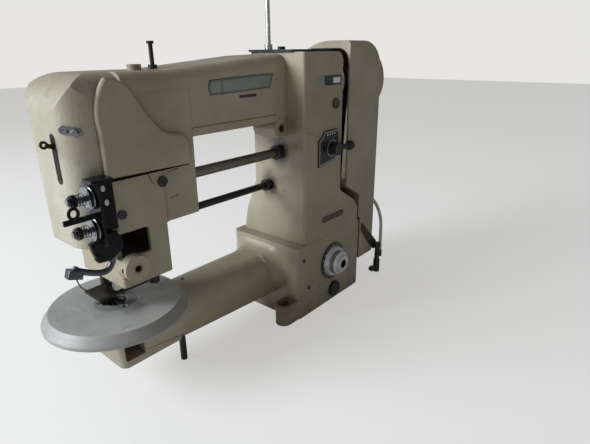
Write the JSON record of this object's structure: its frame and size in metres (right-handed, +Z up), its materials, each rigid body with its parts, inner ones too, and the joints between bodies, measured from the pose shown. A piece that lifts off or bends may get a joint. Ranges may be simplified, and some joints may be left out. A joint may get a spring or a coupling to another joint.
{
  "type": "industrial sewing machine",
  "caption": "Cylinder-bed industrial sewing machine: long arm over a throat, square column, round work table at the needle, belt drive under a deep cover.",
  "frame": {"origin": "centre of the base's footprint, on the surface that the base stands on", "axes": "+X along the arm towards the handwheel, +Y to the back, away from the operator's side, +Z up"},
  "size_m": [0.593, 0.1873, 0.489],
  "materials": {
    "beige_paint": "hammered enamel, semi-gloss",
    "table_alu": "turned and worn",
    "bright_steel": "ground",
    "chrome": "polished",
    "dark_steel": "blackened",
    "black_plastic": "moulded",
    "black_paint": "satin",
    "dial_plate": "engraved",
    "belt_rubber": "matt",
    "hose_plastic": "grey-green tube",
    "valve_metal": "grey-green cast body"
  },
  "bodies": {
    "frame": {"base_plinth": "beige_paint", "bed_casting": "beige_paint", "bed_end_cap": "beige_paint", "bed_bottom_cover": "beige_paint", "support_leg": "bright_steel", "round_table": "table_alu", "needle_plate": "bright_steel", "throat_ring": "bright_steel", "arm_casting": "beige_paint", "face_plate": "beige_paint", "head_lower_block": "beige_paint", "head_front_cover": "beige_paint", "belt_cover": "beige_paint", "shaft_bushes": "bright_steel", "rod_collars": "bright_steel", "take_up_pin": "bright_steel", "timing_belt": "belt_rubber", "bobbin_case": "bright_steel", "dial_scale_ring": "dial_plate", "plugs": "black_plastic", "lever_plate": "black_paint", "top_plate": "black_paint", "thread_stand_rod": "chrome", "thread_pin": "bright_steel", "eyelet_plate": "chrome", "tension_bracket": "dark_steel", "tension_discs": "chrome", "tension_springs": "chrome", "tension_studs": "chrome", "loop_guide": "chrome", "thread_guide_arm": "chrome", "air_valve": "valve_metal", "hose": "hose_plastic", "hose_elbow": "black_plastic", "slotted_screws": "bright_steel"},
    "drive": {"main_shaft": "bright_steel", "needle_crank": "bright_steel", "upper_pulley": "bright_steel", "handwheel": "beige_paint"},
    "link": {"connecting_link": "bright_steel"},
    "hook": {"hook_shaft": "bright_steel", "lower_pulley": "bright_steel", "rotary_hook": "bright_steel"},
    "needle_bar": {"needle_bar": "bright_steel", "needle_bar_clamp": "bright_steel", "needle_clamp": "bright_steel", "needle": "bright_steel"},
    "presser": {"presser_bar": "bright_steel", "presser_foot": "bright_steel"},
    "top_feed": {"top_feed_bar": "bright_steel", "top_feed_foot": "bright_steel"},
    "feed": {"feed_dog": "bright_steel", "feed_bar": "bright_steel"},
    "upper_rod": {"upper_rod": "bright_steel"},
    "lower_rod": {"lower_rod": "bright_steel"},
    "take_up": {"take_up_lever": "chrome"},
    "stitch_lever": {"stitch_lever": "black_paint"},
    "feed_dial": {"feed_dial": "black_plastic"},
    "upper_nut": {"upper_tension_nut": "chrome"},
    "lower_nut": {"lower_tension_nut": "chrome"}
  },
  "joints": [
    {"name": "main_shaft_spin", "type": "hinge", "parent": "frame", "child": "drive", "pos_m": [0.1, 0.012, 0.352], "axis": [1, 0, 0], "continuous": true},
    {"name": "link_swing", "type": "hinge", "parent": "drive", "child": "link", "pos_m": [-0.3185, 0.012, 0.362], "axis": [1, 0, 0], "continuous": true},
    {"name": "hook_spin", "type": "hinge", "parent": "frame", "child": "hook", "pos_m": [-0.1, 0.012, 0.074], "axis": [1, 0, 0], "continuous": true},
    {"name": "needle_bar_stroke", "type": "slide", "parent": "frame", "child": "needle_bar", "axis": [0, 0, 1], "range_m": [-0.02, 0]},
    {"name": "presser_lift", "type": "slide", "parent": "frame", "child": "presser", "axis": [0, 0, 1], "range_m": [0, 0.0045]},
    {"name": "lower_rod_swing", "type": "hinge", "parent": "frame", "child": "lower_rod", "pos_m": [-0.2, 0.001, 0.208], "axis": [1, 0, 0], "range_deg": [-13.2, 0]},
    {"name": "top_feed_lift", "type": "slide", "parent": "frame", "child": "top_feed", "axis": [0, 0, 1], "range_m": [0, 0.003]},
    {"name": "upper_rod_swing", "type": "hinge", "parent": "frame", "child": "upper_rod", "pos_m": [-0.2, -0.022, 0.261], "axis": [1, 0, 0], "range_deg": [-5, 5]},
    {"name": "feed_stroke", "type": "slide", "parent": "frame", "child": "feed", "axis": [0, 1, 0], "range_m": [-0.00125, 0.00125]},
    {"name": "take_up_swing", "type": "hinge", "parent": "frame", "child": "take_up", "pos_m": [-0.336, -0.0075, 0.3], "axis": [0, 1, 0], "range_deg": [-36, 0]},
    {"name": "stitch_lever_swing", "type": "hinge", "parent": "frame", "child": "stitch_lever", "pos_m": [-0.005, -0.075, 0.262], "axis": [0, 1, 0], "range_deg": [-20, 20]},
    {"name": "feed_dial_turn", "type": "hinge", "parent": "frame", "child": "feed_dial", "pos_m": [0.004, -0.08, 0.0724], "axis": [0, 1, 0], "range_deg": [-150, 150]},
    {"name": "upper_nut_turn", "type": "hinge", "parent": "frame", "child": "upper_nut", "pos_m": [-0.385, -0.044, 0.2685], "axis": [1, 0, 0], "range_deg": [-180, 180]},
    {"name": "lower_nut_turn", "type": "hinge", "parent": "frame", "child": "lower_nut", "pos_m": [-0.385, -0.044, 0.236], "axis": [1, 0, 0], "range_deg": [-180, 180]}
  ],
  "couplings": [
    {"joint": "link_swing", "follows": "main_shaft_spin", "ratio": -1},
    {"joint": "hook_spin", "follows": "main_shaft_spin", "ratio": 2},
    {"joint": "lower_rod_swing", "follows": "top_feed_lift", "rad_per_m": -76.79}
  ]
}
